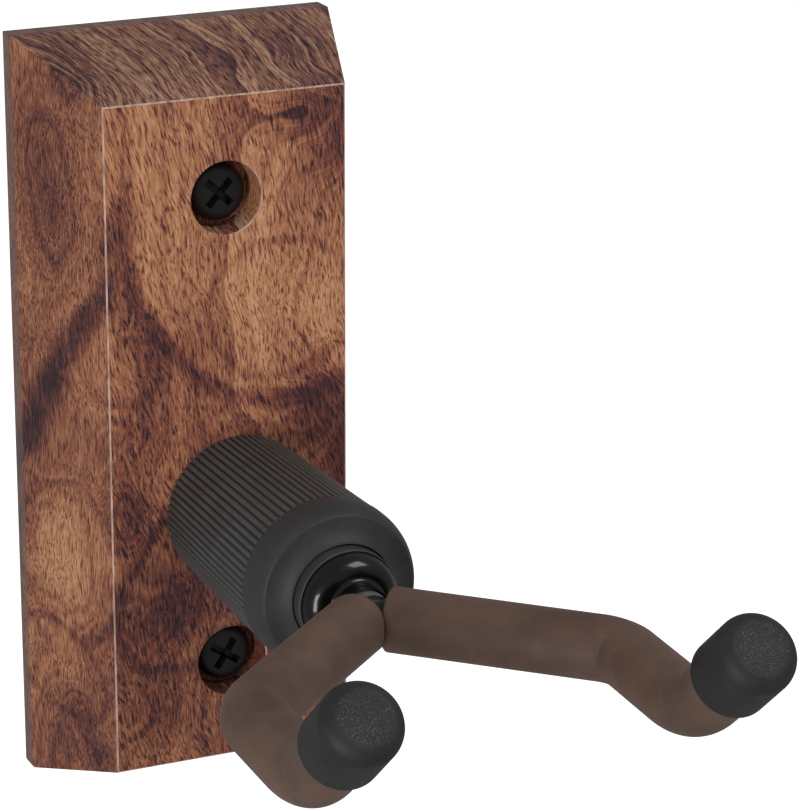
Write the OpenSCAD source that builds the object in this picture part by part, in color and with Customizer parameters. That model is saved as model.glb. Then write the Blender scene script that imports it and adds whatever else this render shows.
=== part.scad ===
// Wall guitar hanger: a bevelled hardwood plate, a fluted hub and a yoke that swivels in it.
// The wall is the plane Y = 0 and the hanger stands out of it towards -Y, with +Z up.
// Every module is drawn in the hanger's own directions (x right, y up, z out from the wall)
// and from_wall() turns it into the row frame.

/* [Plate] */
// Width of the plate across the wall
plate_w = 57.7; // [50:0.1:80]
// Height of the plate
plate_h = 133.35; // [120:0.05:160]
// Thickness of the plate
plate_d = 28.6; // [24:0.1:34]
// Height of the straight wall at the plate's edge
plate_edge = 4.25; // [2:0.05:8]
// How far the bevel runs in over the face at the left and right
bevel_side = 7.3; // [3:0.1:12]
// How far the bevel runs in over the face at the top and bottom
bevel_end = 7.6; // [3:0.1:12]

/* [Wall screws] */
// Distance between the two wall screws
screw_pitch = 83.2; // [70:0.1:95]
// Radius of the counterbore around a screw head
counterbore_r = 6.3; // [6:0.05:8]
// How far a screw's face lies below the plate's face
screw_sink = 3.3; // [2:0.1:10]
// Radius of a screw's head
screw_head_r = 5; // [4:0.05:5.9]
// Radius of a screw's threaded shank
screw_r = 2.1; // [1.5:0.05:2.2]
// Length of a screw from under its head to its point
screw_len = 50; // [40:1:70]

/* [Hub] */
// Sideways place of the hub's axis from the middle of the plate
hub_x = 1.6; // [-3:0.1:3]
// Height of the hub's axis above the middle of the plate
hub_y = -13.7; // [-20:0.1:0]
// Radius of the fluted sleeve where it meets the plate
sleeve_base_r = 13.25; // [12:0.05:14]
// Radius of the fluted sleeve where it meets the collar
sleeve_front_r = 14.27; // [13:0.01:15]
// Number of flutes around the sleeve
flutes = 72; // [40:1:100]
// Depth of one flute
flute_depth = 0.25; // [0.1:0.01:0.7]
// Distance of the collar's rear edge from the wall
collar_z = 65.5; // [55:0.1:75]
// Largest radius of the collar
collar_r = 14.4; // [13:0.05:16]
// Radius of the sharp rim at the collar's front
rim_r = 13.1; // [12:0.1:14]
// Distance of that rim from the wall
rim_z = 72; // [70:0.1:80]

/* [Yoke] */
// Distance between the two arms, centre to centre
arm_pitch = 62.4; // [50:0.1:70]
// Radius of the steel rod
rod_r = 3.175; // [2.5:0.005:4]
// Outer radius of the rubber tubing
tube_r = 5.3; // [4.5:0.05:6.5]
// Angle of each first leg away from straight ahead
spread = 48.9; // [35:0.1:60]
// Distance from the wall at which the two first legs' centre lines cross
vee_z = 83.1; // [82:0.1:90]
// Downward tilt of the yoke's legs
droop = 1.9; // [0:0.1:4]
// Length of the second leg between its corners
leg_two = 23.7; // [20:0.1:40]
// Turn from the second leg up to the third
tip_turn = 43.5; // [20:0.5:60]
// Centre line radius of the elbow between the first and second legs
elbow_r = 7; // [6:0.1:12]
// Centre line radius of the elbow between the second and third legs
tip_bend_r = 17.3; // [8:0.1:18]
// Outer radius of an end cap
cap_r = 6.4; // [6:0.05:7.5]
// Length of an end cap
cap_len = 12.8; // [10:0.1:20]

/* [Hidden] */
$fn = 72;

// Overlap that a cutter runs past the face it opens
cut = 1;
// Gap between two pieces that are pressed or glued together
seat = 0.05;
// Gap between a turning face and a fixed one
turn_gap = 0.1;

// Wall screws
screw_seat_z = plate_d - screw_sink - 3.2;
screw_neck_r = screw_r + 0.2;
screw_hole_r = screw_neck_r + 0.2;
screw_point = 6;
recess_w = 1.15;
recess_reach = 3.1;
recess_depth = 2.2;

// Bore through the hub, from the wall outwards
rear_recess_r = 15;
rear_recess_z = 14.5;
spigot_r = 9;
spigot_z = 18;
liner_r = 6.5;
liner_bore_r = 5;
liner_flange_r = 14.2;
liner_flange_t = 2;
flange_screw_ring_r = 11.2;
flange_screw_r = 1.2;
flange_screw_z = 23;
spindle_r = 4;
spindle_bore_r = spindle_r + 0.04;
bushing_r = liner_bore_r - 0.01;
bushing_len = 12;
flange_z = rear_recess_z - liner_flange_t;
rear_lip_z = flange_z - 1;
washer_top_z = rear_lip_z - turn_gap;
washer_z = washer_top_z - 1.5;
spring_z = washer_z - 1.3;
nut_h = 6.5;
nut_z = spring_z - nut_h;
nut_collar_h = 1.8;
nut_across_flats = 13;
thread_r = spindle_r - 0.06;

// Front of the hub
collar_seat_r = 12;
collar_seat_z = 68.5;
liner_front_z = 70;
boss_r = 8.6;
collar_hole_r = boss_r + 0.2;
flare_z = 73.6;
nose_z = 67.5;
nose_turn = 60;
front_lip_r = 8.2;
front_lip_z = 71.5;
thrust_z = front_lip_z + turn_gap;
boss_z = thrust_z + 0.8;
boss_front_z = 75.8;
boss_chamfer = 0.15;
dome_seat_z = 75;
dome_r = 8.3;
dome_top_r = 5.3;
dome_top_z = 79;
neck_r = 4.4;
neck_top_z = 82.2;

// Yoke: the right arm is drawn and the left one is its mirror image
arm_x = arm_pitch / 2;
vee_bend_r = 4;
vee_turn = 90 - spread;
vee_apex_z = vee_z + vee_bend_r / sin(spread) - vee_bend_r;
leg_one = arm_x / sin(spread);
vee_reach = vee_bend_r / tan(spread);
elbow_reach = elbow_r * tan(spread / 2);
tip_reach = tip_bend_r * tan(tip_turn / 2);
tube_start = 3.65;
tube_end = 22;
cap_start = 14.1;
rod_end = 23;
tube_bore_r = rod_r + seat;
socket = 0.05;
step = 0.01;
meeting_gap = 0.1;
cap_round = 3;
cap_crown = 0.5;
cap_bore_r = tube_r + seat;

// --- Frames and shapes that repeat ---

module from_wall() {
    rotate([90, 0, 0])
        children();
}

module on_hub() {
    from_wall()
        translate([hub_x, hub_y, 0])
            children();
}

// A ring or tube along the hub's axis between two distances from the wall
module ring(outer_r, inner_r, near_z, far_z) {
    translate([0, 0, near_z])
        difference() {
            cylinder(r = outer_r, h = far_z - near_z);
            translate([0, 0, -cut])
                cylinder(r = inner_r, h = far_z - near_z + 2 * cut);
        }
}

// A solid disc or shaft along the hub's axis
module shaft(r, near_z, far_z) {
    translate([0, 0, near_z])
        cylinder(r = r, h = far_z - near_z);
}

// Section of a rod or tube; a bore of 0 leaves it solid
module round_section(r, bore_r) {
    difference() {
        circle(r = r);
        if (bore_r > 0)
            circle(r = bore_r);
    }
}

// A straight length from the local origin along z; its wall is a hair thinner than a bend's, and
// runs a little way into the bends at its two ends
module straight(len, r, bore_r) {
    translate([0, 0, -socket])
        linear_extrude(height = len + 2 * socket)
            round_section(r - step, bore_r > 0 ? bore_r + step : 0);
}

// A bend from the local origin that starts along z and turns towards x
module bend(centre_r, turn, r, bore_r) {
    translate([centre_r, 0, 0])
        mirror([1, 0, 0])
            rotate([90, 0, 0])
                rotate_extrude(angle = turn)
                    translate([centre_r, 0])
                        round_section(r, bore_r);
}

// Moves its children past a bend
module past_bend(centre_r, turn) {
    translate([centre_r * (1 - cos(turn)), 0, centre_r * sin(turn)])
        rotate([0, turn, 0])
            children();
}

// Moves its children onto the first leg's centre line, measured from where the two legs cross
module on_first_leg() {
    translate([0, 0, vee_apex_z])
        rotate([droop, 0, 0])
            translate([0, 0, vee_z - vee_apex_z])
                rotate([0, spread, 0])
                    children();
}

// Moves its children to the end of the first leg, facing along it
module at_elbow() {
    on_first_leg()
        translate([0, 0, leg_one - elbow_reach])
            children();
}

// Moves its children to the start of the second leg, facing straight ahead with x up
module on_second_leg() {
    at_elbow()
        rotate([0, 0, 180])
            past_bend(elbow_r, spread)
                rotate([0, 0, -90])
                    children();
}

// Moves its children onto the third leg, measured from the second leg's far corner
module on_third_leg() {
    on_second_leg()
        translate([0, 0, leg_two - elbow_reach - tip_reach])
            past_bend(tip_bend_r, tip_turn)
                translate([0, 0, -tip_reach])
                    children();
}

// The right arm from a distance along its first leg to a distance along its third
module arm(first, last, r, bore_r) {
    on_first_leg()
        translate([0, 0, first])
            straight(leg_one - elbow_reach - first, r, bore_r);
    at_elbow()
        rotate([0, 0, 180])
            bend(elbow_r, spread, r, bore_r);
    on_second_leg()
        straight(leg_two - elbow_reach - tip_reach, r, bore_r);
    on_second_leg()
        translate([0, 0, leg_two - elbow_reach - tip_reach])
            bend(tip_bend_r, tip_turn, r, bore_r);
    on_third_leg()
        translate([0, 0, tip_reach])
            straight(last - tip_reach, r, bore_r);
}

// --- Plate and its screws ---

// Outline of the plate across one of its two widths
module plate_section(width, bevel) {
    polygon([
        [-width / 2, 0], [width / 2, 0], [width / 2, plate_edge],
        [width / 2 - bevel, plate_d], [-width / 2 + bevel, plate_d], [-width / 2, plate_edge]
    ]);
}

module plate_block() {
    intersection() {
        rotate([90, 0, 0])
            linear_extrude(height = plate_h, center = true)
                plate_section(plate_w, bevel_side);
        rotate([90, 0, 90])
            linear_extrude(height = plate_w, center = true)
                plate_section(plate_h, bevel_end);
    }
}

module base_plate() {
    color("saddlebrown")
        from_wall()
            difference() {
                plate_block();
                for (side = [-1, 1])
                    translate([0, side * screw_pitch / 2, 0]) {
                        shaft(screw_hole_r, -cut, plate_d);
                        shaft(counterbore_r, screw_seat_z, plate_d + cut);
                    }
                translate([hub_x, hub_y, 0]) {
                    shaft(rear_recess_r, -cut, rear_recess_z);
                    shaft(liner_r + seat, 0, plate_d);
                    shaft(spigot_r + seat, spigot_z, plate_d + cut);
                    flange_screw_places()
                        shaft(flange_screw_r + seat, rear_recess_z - cut, flange_screw_z + cut);
                }
            }
}

module screw_head() {
    translate([0, 0, screw_seat_z])
        rotate_extrude()
            polygon(concat(
                [[0, 0], [screw_head_r - 0.5, 0], [screw_head_r, 0.6]],
                [for (turn = [0 : 15 : 90])
                    [screw_head_r - 1.6 * (1 - cos(turn)), 1.8 + 1.4 * sin(turn)]],
                [[0, 3.2]]
            ));
}

module screw_drive() {
    translate([0, 0, screw_seat_z + 3.2 - recess_depth / 2 + 0.05])
        for (turn = [45, 135])
            rotate([0, 0, turn])
                cube([2 * recess_reach, recess_w, recess_depth], center = true);
}

module wall_screws() {
    color("black")
        from_wall()
            for (side = [-1, 1])
                translate([0, side * screw_pitch / 2, 0]) {
                    difference() {
                        screw_head();
                        screw_drive();
                    }
                    shaft(screw_neck_r, 0, screw_seat_z);
                    shaft(screw_r, screw_seat_z - screw_len + screw_point, screw_seat_z);
                    translate([0, 0, screw_seat_z - screw_len])
                        cylinder(r1 = 0.2, r2 = screw_r, h = screw_point);
                }
}

// --- Hub ---

// Outline of the fluted sleeve at its base: a ridge and a groove for each flute
module fluted_outline() {
    polygon([for (k = [0 : 2 * flutes - 1])
        let (r = sleeve_base_r - (k % 2) * flute_depth)
            r * [cos(k * 180 / flutes), sin(k * 180 / flutes)]
    ]);
}

module hub_sleeve() {
    color("dimgray")
        on_hub()
            difference() {
                union() {
                    translate([0, 0, plate_d])
                        linear_extrude(height = collar_z - plate_d, scale = sleeve_front_r / sleeve_base_r)
                            fluted_outline();
                    shaft(spigot_r, spigot_z, plate_d + cut);
                    shaft(collar_seat_r, collar_z - cut, collar_seat_z);
                }
                shaft(liner_r + seat, 0, liner_front_z);
            }
}

// Half section of the collar: round rear edge, curved nose to a sharp rim, and a flared front
module collar_section() {
    nose_run = (collar_r - rim_r) / (1 - cos(nose_turn));
    nose_rise = (rim_z - nose_z) / sin(nose_turn);
    polygon(concat(
        [[collar_seat_r + seat, collar_z], [collar_r - 0.6, collar_z]],
        [for (turn = [0 : 15 : 90]) [collar_r - 0.6 + 0.6 * sin(turn), collar_z + 0.6 - 0.6 * cos(turn)]],
        [for (turn = [0 : 10 : nose_turn])
            [collar_r - nose_run * (1 - cos(turn)), nose_z + nose_rise * sin(turn)]],
        [for (k = [1 : 8])
            [rim_r - (rim_r - collar_hole_r) * k / 8, rim_z + (flare_z - rim_z) * pow(k / 8, 3)]],
        [[collar_hole_r, liner_front_z], [liner_r + seat, liner_front_z]],
        [[liner_r + seat, collar_seat_z], [collar_seat_r + seat, collar_seat_z]]
    ));
}

module hub_collar() {
    color("dimgray")
        on_hub()
            rotate_extrude()
                collar_section();
}

module hub_liner() {
    color("silver")
        on_hub()
            difference() {
                union() {
                    shaft(liner_r, flange_z, liner_front_z);
                    shaft(liner_flange_r, flange_z, rear_recess_z);
                }
                shaft(liner_bore_r, 0, liner_front_z + cut);
                flange_screw_places()
                    shaft(flange_screw_r + seat, 0, rear_recess_z + cut);
            }
}

module flange_screw_places() {
    for (turn = [90 : 120 : 330])
        rotate([0, 0, turn])
            translate([flange_screw_ring_r, 0, 0])
                children();
}

module flange_screws() {
    color("gold")
        on_hub()
            flange_screw_places() {
                difference() {
                    shaft(2.2, flange_z - 1.4, flange_z);
                    translate([0, 0, flange_z - 1.4])
                        cube([3, 0.7, 1.2], center = true);
                }
                shaft(flange_screw_r, flange_z, flange_screw_z - 2);
                translate([0, 0, flange_screw_z - 2])
                    cylinder(r1 = flange_screw_r, r2 = 0.2, h = 2);
            }
}

module front_bushing() {
    color("white")
        on_hub()
            difference() {
                union() {
                    shaft(bushing_r, liner_front_z - bushing_len, liner_front_z);
                    shaft(front_lip_r, liner_front_z, front_lip_z);
                }
                shaft(spindle_bore_r, 0, front_lip_z + cut);
            }
}

module rear_bushing() {
    color("white")
        on_hub()
            difference() {
                union() {
                    shaft(bushing_r, flange_z, flange_z + bushing_len);
                    shaft(front_lip_r - 0.4, rear_lip_z, flange_z);
                }
                shaft(spindle_bore_r, 0, flange_z + bushing_len + cut);
            }
}

// --- Yoke ---

// Bend in the middle of the rod, from one first leg round to the other
module vee_bend() {
    translate([0, 0, vee_apex_z])
        rotate([90 + droop, 0, 0])
            translate([0, vee_bend_r, 0])
                rotate([0, 0, -90 - vee_turn])
                    rotate_extrude(angle = 2 * vee_turn)
                        translate([vee_bend_r, 0])
                            circle(r = rod_r);
}

module yoke_rod() {
    color("dimgray")
        on_hub() {
            vee_bend();
            for (side = [0, 1])
                mirror([side, 0, 0])
                    arm(vee_reach, rod_end, rod_r, 0);
        }
}

// Cutter that fits the back of the rod
module rod_cope() {
    translate([0, 0, vee_apex_z])
        rotate([0, 90, 0])
            cylinder(r = rod_r + seat, h = 4 * rod_r, center = true);
}

// Shaft with a threaded rear end; its front is coped around the back of the rod
module yoke_spindle() {
    color("gray")
        on_hub()
            difference() {
                union() {
                    shaft(thread_r, nut_z - 1, washer_top_z);
                    shaft(spindle_r, washer_top_z, vee_apex_z);
                }
                rod_cope();
            }
}

module boss_ring() {
    color("dimgray")
        on_hub()
            difference() {
                union() {
                    shaft(boss_r, boss_z, boss_front_z - boss_chamfer);
                    translate([0, 0, boss_front_z - boss_chamfer])
                        cylinder(r1 = boss_r, r2 = boss_r - boss_chamfer, h = boss_chamfer);
                }
                shaft(spindle_r + seat, 0, boss_front_z + cut);
                shaft(dome_r + seat, dome_seat_z, boss_front_z + cut);
            }
}

// Round shoulder inside the ring, with a fillet up to a neck against the back of the rod
module boss_dome() {
    color("black")
        on_hub()
            difference() {
                rotate_extrude()
                    polygon(concat(
                        [[0, dome_seat_z], [dome_r, dome_seat_z]],
                        [for (turn = [0 : 6 : 90]) [
                            dome_top_r + (dome_r - dome_top_r) * cos(turn),
                            boss_front_z + (dome_top_z - boss_front_z) * sin(turn)
                        ]],
                        [for (turn = [15 : 15 : 90]) [
                            dome_top_r - (dome_top_r - neck_r) * sin(turn),
                            dome_top_z + (dome_top_r - neck_r) * (1 - cos(turn))
                        ]],
                        [[neck_r, neck_top_z], [0, neck_top_z]]
                    ));
                shaft(spindle_r + seat, 0, neck_top_z + cut);
                rod_cope();
            }
}

module thrust_washer() {
    color("white")
        on_hub()
            ring(front_lip_r - 0.2, spindle_r + seat, thrust_z, boss_z);
}

module rear_washer() {
    color("silver")
        on_hub()
            ring(7.8, spindle_r + seat, washer_z, washer_top_z);
}

module disc_spring() {
    color("silver")
        on_hub()
            rotate_extrude()
                polygon([
                    [spindle_r + seat, spring_z], [spindle_r + seat, spring_z + 0.8],
                    [7.6, washer_z], [7.6, washer_z - 0.8]
                ]);
}

module lock_nut() {
    color("silver")
        on_hub()
            difference() {
                union() {
                    translate([0, 0, nut_z + nut_collar_h])
                        cylinder(r = nut_across_flats / 2 / cos(30), h = nut_h - nut_collar_h, $fn = 6);
                    shaft(6, nut_z, nut_z + nut_collar_h + cut);
                }
                shaft(spindle_r, 0, spring_z + cut);
                shaft(5.4, nut_z + 0.3, nut_z + nut_collar_h);
            }
}

module nut_insert() {
    color("royalblue")
        on_hub()
            ring(5.4 - seat, thread_r + seat, nut_z + 0.35, nut_z + nut_collar_h - seat);
}

// Tube on the right arm, trimmed where it meets the left one
module tube_shape() {
    difference() {
        arm(tube_start, tube_end, tube_r, tube_bore_r);
        translate([meeting_gap / 2 - 20, -10, vee_z - 10])
            cube(20);
    }
}

module right_tube() {
    color("sienna")
        on_hub()
            tube_shape();
}

module left_tube() {
    color("sienna")
        on_hub()
            mirror([1, 0, 0])
                tube_shape();
}

// Half section of an end cap, measured along the third leg
module cap_section() {
    cap_end = cap_start + cap_len;
    polygon(concat(
        [[cap_bore_r, cap_start], [cap_r - 0.3, cap_start], [cap_r, cap_start + 0.3]],
        [for (turn = [0 : 10 : 90])
            [cap_r - cap_round * (1 - cos(turn)), cap_end - cap_crown - cap_round * (1 - sin(turn))]],
        [[0, cap_end], [0, rod_end + 0.3], [cap_bore_r, rod_end + 0.3]]
    ));
}

module cap_shape() {
    on_third_leg()
        rotate_extrude()
            cap_section();
}

module right_cap() {
    color("black")
        on_hub()
            cap_shape();
}

module left_cap() {
    color("black")
        on_hub()
            mirror([1, 0, 0])
                cap_shape();
}

base_plate();
wall_screws();
hub_sleeve();
hub_collar();
hub_liner();
flange_screws();
front_bushing();
rear_bushing();
yoke_spindle();
yoke_rod();
boss_ring();
boss_dome();
thrust_washer();
rear_washer();
disc_spring();
lock_nut();
nut_insert();
left_tube();
right_tube();
left_cap();
right_cap();
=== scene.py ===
"""Looks of the wall guitar hanger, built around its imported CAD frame.

Lengths are millimetres up to the studio, whose lengths are metres, and meshes are made in metres.
A hub point (x, y, z) is x to the right of the hub's axis, y above it and z out from the wall.
"""

from math import atan2, cos, degrees, exp, hypot, pi, radians, sin, sqrt, tan

import bmesh
import bpy
from mathutils import Matrix, Vector


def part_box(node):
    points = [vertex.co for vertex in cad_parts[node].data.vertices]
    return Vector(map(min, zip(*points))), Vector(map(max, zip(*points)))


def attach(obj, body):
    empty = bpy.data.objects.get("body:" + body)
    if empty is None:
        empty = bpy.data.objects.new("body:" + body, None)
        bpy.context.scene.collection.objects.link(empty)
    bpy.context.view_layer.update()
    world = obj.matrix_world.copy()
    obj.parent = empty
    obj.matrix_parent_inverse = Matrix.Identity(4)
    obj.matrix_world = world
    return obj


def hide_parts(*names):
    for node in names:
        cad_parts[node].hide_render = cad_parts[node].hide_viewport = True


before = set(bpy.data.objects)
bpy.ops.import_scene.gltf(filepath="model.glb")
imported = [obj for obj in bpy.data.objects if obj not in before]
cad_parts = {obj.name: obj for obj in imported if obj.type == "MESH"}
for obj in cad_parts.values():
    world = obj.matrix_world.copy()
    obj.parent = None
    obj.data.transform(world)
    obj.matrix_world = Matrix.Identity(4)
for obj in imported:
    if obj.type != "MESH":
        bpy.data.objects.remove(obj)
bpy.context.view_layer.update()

MM = 0.001


# --- Sizes, worked out from the frame where it holds them ---


def box_mm(node):
    """Lowest and highest corners of a CAD node, in millimetres of the row frame."""
    low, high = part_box(node)
    return low / MM, high / MM


plate_low, plate_high = box_mm("base_plate")
collar_low, collar_high = box_mm("hub_collar")
sleeve_low, _ = box_mm("hub_sleeve")
ring_low, ring_high = box_mm("boss_ring")
screws_low, screws_high = box_mm("wall_screws")
nut_low, nut_high = box_mm("lock_nut")
spindle_low, spindle_high = box_mm("yoke_spindle")

PLATE_HALF_W = plate_high.x
PLATE_HALF_H = plate_high.z
PLATE_D = -plate_low.y
PLATE_EDGE = 4.25
BEVEL_SIDE = 7.3
BEVEL_END = 7.6
ARRIS = 0.2
SOFT_EDGE = 0.15

HUB_X = (collar_low.x + collar_high.x) / 2
HUB_Z = (collar_low.z + collar_high.z) / 2

SCREW_R = 2.1
SCREW_NECK_R = 2.3
SCREW_HEAD_R = (screws_high.x - screws_low.x) / 2
SCREW_PITCH = 83.2
UPPER_DRIVE_TURN = radians(2)
LOWER_DRIVE_TURN = radians(11)
SCREW_POINT_Z = -screws_high.y
SCREW_FACE_Z = -screws_low.y
SCREW_HOLE_R = SCREW_NECK_R + 0.2
DRIVE_WING_HALF = 0.62
DRIVE_WING_END = 3.05
DRIVE_WING_DEPTH = 2.1
DRIVE_CORE_R = 1.35
DRIVE_CORE_DEPTH = 2.3
SCREW_HEAD_H = 3.2
SCREW_POINT_LEN = 6
SCREW_THREAD_PITCH = 2.0
SCREW_THREAD_ROOT_R = 1.45
SCREW_SEAT_Z = SCREW_FACE_Z - SCREW_HEAD_H
COUNTERBORE_R = 6.3

REAR_RECESS_R = 15
REAR_RECESS_Z = 14.5
LINER_R = 6.55
LINER_FRONT_Z = 70
SPIGOT_R = 9
SPIGOT_Z = 18

FLUTES = 72
FLUTE_DEPTH = 0.32
SLEEVE_BASE_R = 13.25
SLEEVE_FRONT_R = 14.27
COLLAR_Z = -collar_high.y
COLLAR_R = (collar_high.x - collar_low.x) / 2
COLLAR_SEAT_R = 12
COLLAR_SEAT_Z = 68.5
NOSE_Z = 67.5
NOSE_TURN = radians(60)
RIM_R = 13.1
RIM_Z = 72
FLARE_Z = -collar_low.y
BOSS_R = (ring_high.x - ring_low.x) / 2
BOSS_Z = -ring_high.y
BOSS_FRONT_Z = -ring_low.y
BOSS_SEAT_Z = 75
COLLAR_HOLE_R = BOSS_R + 0.2
DOME_R = 8.3
DOME_TOP_R = 5.3
DOME_TOP_Z = 79
NECK_R = 4.4
NECK_END_Z = 82.1
SPINDLE_R = 4
SPINDLE_THREAD_PITCH = 1.25
SPINDLE_THREAD_ROOT_R = 3.3
SPINDLE_THREAD_R = 3.94
SPINDLE_THREAD_END_Z = 11.4

WASHER_BORE_R = 4.05
REAR_WASHER_R = 7.8
THRUST_WASHER_R = 8.0
SPRING_R = 7.6
SPRING_T = 0.8
NUT_R = 7.55
NUT_COLLAR_R = 6.0
NUT_COLLAR_H = 1.8
INSERT_SEAT_R = 5.4

ROD_R = 3.175
TUBE_R = 5.3
SPREAD = radians(48.9)
DROOP = radians(1.9)
VEE_Z = 83.1
VEE_BEND_R = 4
ARM_X = 31.2
LEG_TWO = 23.7
TIP_TURN = radians(43.5)
ELBOW_R = 7
TIP_BEND_R = 17.3
TUBE_START = 3.65
TUBE_END = 22
CAP_START = 14.1
CAP_LEN = 12.8
CAP_R = 6.4
CAP_FLOOR = 23.3
ROD_END = 23


# --- Meshes ---


def hub_point(x, y, z):
    """Row-frame point, in millimetres, of a point given in the hub's own directions."""
    return (HUB_X + x, -z, HUB_Z + y)


def plate_point(x, y, z):
    """The same for a point given from the middle of the plate's back."""
    return (x, -z, y)


def raw_mesh(name, points, faces):
    """Mesh of points given in row-frame millimetres."""
    mesh = bpy.data.meshes.new(name)
    mesh.from_pydata([Vector(p) * MM for p in points], [], faces)
    return mesh


def fill(mesh, work):
    """Puts a bmesh's shape in a mesh, and frees the bmesh."""
    work.to_mesh(mesh)
    work.free()
    return mesh


def add(name, data):
    """New object in the scene."""
    made = bpy.data.objects.new(name, data)
    bpy.context.scene.collection.objects.link(made)
    return made


def put(name, points, faces, material, body, node, sharp, slot):
    """Makes a piece from points in row-frame millimetres, and hands it to the frame."""
    finish_piece(name, raw_mesh(name, points, faces), material, body, node, sharp)


def finish_piece(name, mesh, material, body, node, sharp):
    """Smooths a mesh up to sharp degrees, gives it its material and lets it ride on its body."""
    work = bmesh.new()
    work.from_mesh(mesh)
    bmesh.ops.remove_doubles(work, verts=work.verts, dist=1e-7)
    bmesh.ops.recalc_face_normals(work, faces=work.faces)
    fill(mesh, work)
    mesh.polygons.foreach_set("use_smooth", [True] * len(mesh.polygons))
    mesh.set_sharp_from_angle(angle=radians(sharp))
    for layer in material if isinstance(material, (list, tuple)) else [material]:
        mesh.materials.append(layer)
    piece = add(name, mesh)
    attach(piece, body)
    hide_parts(node)


def band(first, second, columns):
    """Quads between the rings of points that start at first and second."""
    ends = [(j, (j + 1) % columns) for j in range(columns)]
    return [(first + j, first + k, second + k, second + j) for j, k in ends]


def grid_faces(rows, columns, first=0, close_rows=False):
    """Quads of a grid whose columns close into a ring, and whose rows do if asked."""
    faces = []
    for i in range(rows if close_rows else rows - 1):
        faces += band(first + i * columns, first + (i + 1) % rows * columns, columns)
    return faces


def end_fans(rows, columns):
    """Flat ends of a grid of rings."""
    last = (rows - 1) * columns
    return [tuple(range(columns))[::-1], tuple(range(last, last + columns))]


def angles(steps):
    """Angles of a ring's points."""
    return [2 * pi * j / steps for j in range(steps)]


def turned(profile, steps, closed=False, place=hub_point, swell=None):
    """Points and faces of a solid of revolution. profile lists (radius, z); swell(angle, r, z)
    may change a radius. A closed profile makes a ring, and an open one gets flat ends."""
    points = []
    for r, z in profile:
        for a in angles(steps):
            reach = swell(a, r, z) if swell else r
            points.append(place(reach * cos(a), reach * sin(a), z))
    faces = grid_faces(len(profile), steps, 0, closed)
    if not closed:
        faces += end_fans(len(profile), steps)
    return points, faces


def put_turned(name, profile, steps, *looks, closed=True, place=hub_point, swell=None):
    """Hands a turned solid to put(). looks is its material, body, node, sharp angle and slot; the
    slot is not used.
    """
    put(name, *turned(profile, steps, closed, place, swell), *looks)


def arc(centre_r, centre_z, radius_r, radius_z, start, end, steps):
    """Profile points round part of an ellipse, from one angle in degrees to another."""
    turns = [radians(start + (end - start) * k / steps) for k in range(steps + 1)]
    return [(centre_r + radius_r * cos(t), centre_z + radius_z * sin(t)) for t in turns]


def line(start, end, steps):
    """Profile points from start towards end, leaving end out."""
    return [tuple(a + (b - a) * k / steps for a, b in zip(start, end)) for k in range(steps)]


def soft_ring(outer, inner, near, far, ease):
    """Closed profile of a washer or sleeve with eased edges."""
    cut = ease * 0.3
    return [
        (inner + ease, near),
        (outer - ease, near),
        (outer - cut, near + cut),
        (outer, near + ease),
        (outer, far - ease),
        (outer - cut, far - cut),
        (outer - ease, far),
        (inner + ease, far),
        (inner + cut, far - cut),
        (inner, far - ease),
        (inner, near + ease),
        (inner + cut, near + cut),
    ]


# --- Materials ---


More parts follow.
